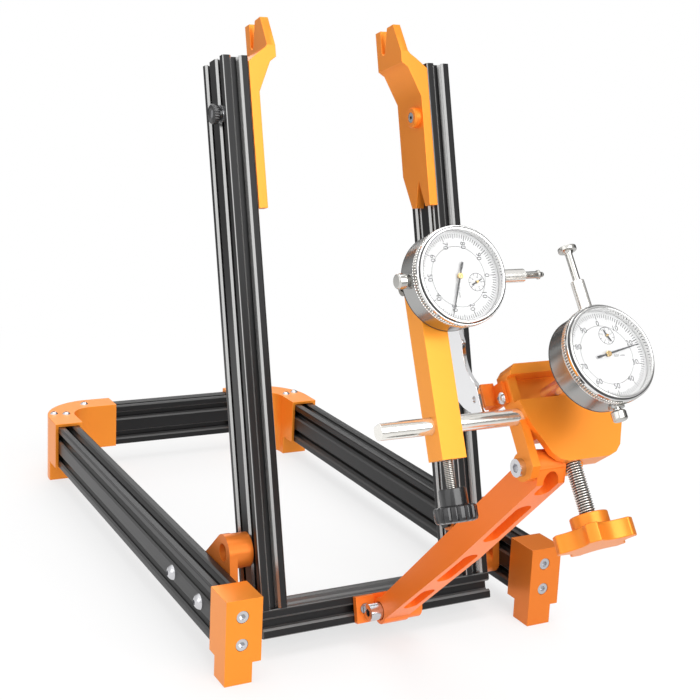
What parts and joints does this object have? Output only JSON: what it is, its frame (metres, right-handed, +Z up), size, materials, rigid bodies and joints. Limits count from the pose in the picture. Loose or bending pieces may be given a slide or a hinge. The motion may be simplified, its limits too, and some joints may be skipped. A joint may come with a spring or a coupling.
{
  "type": "bicycle wheel truing stand",
  "caption": "Wheel truing stand of slotted aluminium rails: flat base, leaning forked frame with notched axle plates, and a swinging arm with dial gauges and a feeler.",
  "frame": {"origin": "on the table, under the middle of the whole stand's box in X and Y, arm and gauges included", "axes": "+X to the right as the user sees it, +Y to the rear along the base, +Z up; the stand rests on Z = 0"},
  "size_m": [0.2742, 0.7027, 0.4426],
  "materials": {
    "rail": "satin dark grey anodised",
    "orange": "bright orange anodised",
    "bar_orange": "bright yellow-orange anodised",
    "bolt": "chromed screw",
    "rod": "polished rod",
    "thread": "stainless thread",
    "case": "bright chromed gauge case",
    "dial": "white dial",
    "hand": "black hand",
    "crystal": "clear crystal",
    "knob": "glossy black moulded knob",
    "brass": "plain brass",
    "feeler": "polished steel blade"
  },
  "bodies": {
    "base": {"side_rail_left": "rail", "side_rail_right": "rail", "rear_rail": "rail", "corner_bracket_left": "orange", "corner_bracket_right": "orange", "corner_screws": "bolt", "foot_left": "orange", "foot_right": "orange", "foot_screws": "bolt", "pivot_bracket_left": "orange", "pivot_bracket_right": "orange", "bracket_bolts": "bolt", "pivot_bolts": "bolt", "pivot_washers": "orange", "pivot_nuts": "bolt"},
    "frame": {"cross_rail": "rail", "upright_left": "rail", "upright_right": "rail", "upright_screws": "bolt", "axle_plate_left": "orange", "axle_plate_right": "orange", "cup_washer": "orange", "axle_plate_screws": "bolt", "slot_nut": "bolt", "arm_hinge_plate": "orange", "hinge_plate_screws": "bolt", "arm_hinge_bolt": "bolt"},
    "thumb_washer": {"thumb_nut_washer": "bolt"},
    "thumb_nut": {"thumb_nut": "knob"},
    "arm": {"slotted_arm": "orange"},
    "carriage": {"carriage_block": "orange", "carriage_bolt": "bolt", "gauge_post": "rod", "gauge_post_screw": "bolt", "feeler_holder": "orange", "feeler_screw": "bolt", "feeler_plate": "feeler", "right_case": "case", "right_dial": "dial"},
    "clamp_pad": {"clamp_pad": "brass"},
    "star_knob": {"clamp_screw": "thread", "star_knob": "orange"},
    "rod": {"cross_rod": "rod"},
    "bar": {"gauge_bar": "bar_orange", "lug_bolt": "bolt", "left_case": "case", "left_dial": "dial"},
    "bar_pad": {"bar_pad": "brass"},
    "bar_knob": {"bar_screw": "thread", "bar_knob": "knob"},
    "left_pointer": {"left_pointer": "hand"},
    "left_counter": {"left_counter": "hand"},
    "left_plunger": {"left_plunger": "case"},
    "left_bezel": {"left_bezel": "case", "left_crystal": "crystal"},
    "right_pointer": {"right_pointer": "hand"},
    "right_counter": {"right_counter": "hand"},
    "right_plunger": {"right_plunger": "case"},
    "right_bezel": {"right_bezel": "case", "right_crystal": "crystal"}
  },
  "joints": [
    {"name": "frame_fold", "type": "hinge", "parent": "base", "child": "frame", "pos_m": [0, -0.08546, 0.06903], "axis": [-1, 0, 0], "range_deg": [-10, 75]},
    {"name": "arm_swing", "type": "hinge", "parent": "frame", "child": "arm", "pos_m": [0, -0.12926, 0.02537], "axis": [-1, 0, 0], "range_deg": [-20, 30]},
    {"name": "carriage_tilt", "type": "hinge", "parent": "arm", "child": "carriage", "pos_m": [0, -0.29629, 0.18781], "axis": [-1, 0, 0], "range_deg": [-25, 25]},
    {"name": "thumb_nut_turn", "type": "hinge", "parent": "thumb_washer", "child": "thumb_nut", "pos_m": [-0.1, -0.0145, 0.3725], "axis": [-1, 0, 0], "range_deg": [0, 720]},
    {"name": "thumb_nut_travel", "type": "slide", "parent": "frame", "child": "thumb_washer", "axis": [-1, 0, 0], "range_m": [0, 0.002]},
    {"name": "star_knob_turn", "type": "hinge", "parent": "clamp_pad", "child": "star_knob", "pos_m": [0.0174, -0.30285, 0.1924], "axis": [0, -0.5736, -0.8192], "range_deg": [0, 1440]},
    {"name": "clamp_travel", "type": "slide", "parent": "carriage", "child": "clamp_pad", "axis": [0, -0.5736, -0.8192], "range_m": [0, 0.006]},
    {"name": "rod_slide", "type": "slide", "parent": "carriage", "child": "rod", "axis": [1, 0, 0], "range_m": [-0.03, 0.004]},
    {"name": "bar_swivel", "type": "hinge", "parent": "rod", "child": "bar", "pos_m": [0, -0.2865, 0.21575], "axis": [-1, 0, 0], "range_deg": [-5, 22]},
    {"name": "bar_knob_turn", "type": "hinge", "parent": "bar_pad", "child": "bar_knob", "pos_m": [-0.0635, -0.2865, 0.21575], "axis": [0, -0.3907, -0.9205], "range_deg": [0, 720]},
    {"name": "bar_lock_travel", "type": "slide", "parent": "bar", "child": "bar_pad", "axis": [0, -0.3907, -0.9205], "range_m": [0, 0.002]},
    {"name": "left_pointer_turn", "type": "hinge", "parent": "bar", "child": "left_pointer", "pos_m": [-0.053, -0.27925, 0.30066], "axis": [0, 0.9205, -0.3907], "range_deg": [0, 3600]},
    {"name": "left_counter_turn", "type": "hinge", "parent": "bar", "child": "left_counter", "pos_m": [-0.0416, -0.27977, 0.29687], "axis": [0, 0.9205, -0.3907], "range_deg": [0, 360]},
    {"name": "left_plunger_travel", "type": "slide", "parent": "bar", "child": "left_plunger", "axis": [-1, 0, 0], "range_m": [0, 0.01], "stiffness_N_per_m": 40, "springref_m": -0.025},
    {"name": "left_bezel_turn", "type": "hinge", "parent": "bar", "child": "left_bezel", "pos_m": [-0.053, -0.27925, 0.30066], "axis": [0, 0.9205, -0.3907], "continuous": true},
    {"name": "right_pointer_turn", "type": "hinge", "parent": "carriage", "child": "right_pointer", "pos_m": [0.016, -0.33104, 0.26268], "axis": [0, 0.8192, -0.5736], "range_deg": [0, 3600]},
    {"name": "right_counter_turn", "type": "hinge", "parent": "carriage", "child": "right_counter", "pos_m": [0.0197, -0.32368, 0.27144], "axis": [0, 0.8192, -0.5736], "range_deg": [0, 360]},
    {"name": "right_plunger_travel", "type": "slide", "parent": "carriage", "child": "right_plunger", "axis": [0, -0.5736, -0.8192], "range_m": [0, 0.01], "stiffness_N_per_m": 40, "springref_m": -0.025},
    {"name": "right_bezel_turn", "type": "hinge", "parent": "carriage", "child": "right_bezel", "pos_m": [0.016, -0.33104, 0.26268], "axis": [0, 0.8192, -0.5736], "continuous": true}
  ],
  "couplings": [
    {"joint": "thumb_nut_turn", "follows": "thumb_nut_travel", "rad_per_m": 6283.2},
    {"joint": "star_knob_turn", "follows": "clamp_travel", "rad_per_m": 4188.8},
    {"joint": "bar_knob_turn", "follows": "bar_lock_travel", "rad_per_m": 6283.2},
    {"joint": "left_pointer_turn", "follows": "left_plunger_travel", "rad_per_m": 6283.2},
    {"joint": "left_counter_turn", "follows": "left_plunger_travel", "rad_per_m": 628.32},
    {"joint": "right_pointer_turn", "follows": "right_plunger_travel", "rad_per_m": 6283.2},
    {"joint": "right_counter_turn", "follows": "right_plunger_travel", "rad_per_m": 628.32}
  ]
}
